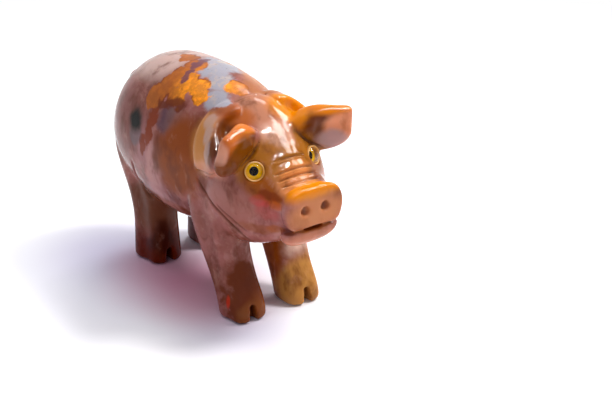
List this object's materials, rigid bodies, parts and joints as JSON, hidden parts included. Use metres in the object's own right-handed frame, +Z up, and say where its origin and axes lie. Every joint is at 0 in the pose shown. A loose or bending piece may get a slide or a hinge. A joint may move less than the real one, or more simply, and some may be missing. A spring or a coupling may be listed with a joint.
{
  "type": "pig figurine",
  "caption": "Small standing pig carved from banded stone and polished, with glass eyes set in drilled sockets; an ornament that rests on its soles.",
  "frame": {"origin": "on the surface that the pig stands on, under the middle of its length and width", "axes": "+Z up; the pig faces -Y; +X is the pig's left"},
  "size_m": [0.0358, 0.0724, 0.0527],
  "materials": {
    "banded_stone": "polished, mauve, amber and orange bands",
    "eye_cement": "cream resin cement",
    "iris_glass": "opaque yellow glass",
    "pupil_glass": "opaque black glass",
    "clear_glass": "clear polished glass"
  },
  "bodies": {
    "root": {"carved_body": "banded_stone", "left_eye_cement": "eye_cement", "left_eye_iris": "iris_glass", "left_eye_pupil": "pupil_glass", "left_eye_glass": "clear_glass", "right_eye_cement": "eye_cement", "right_eye_iris": "iris_glass", "right_eye_pupil": "pupil_glass", "right_eye_glass": "clear_glass"}
  },
  "joints": []
}
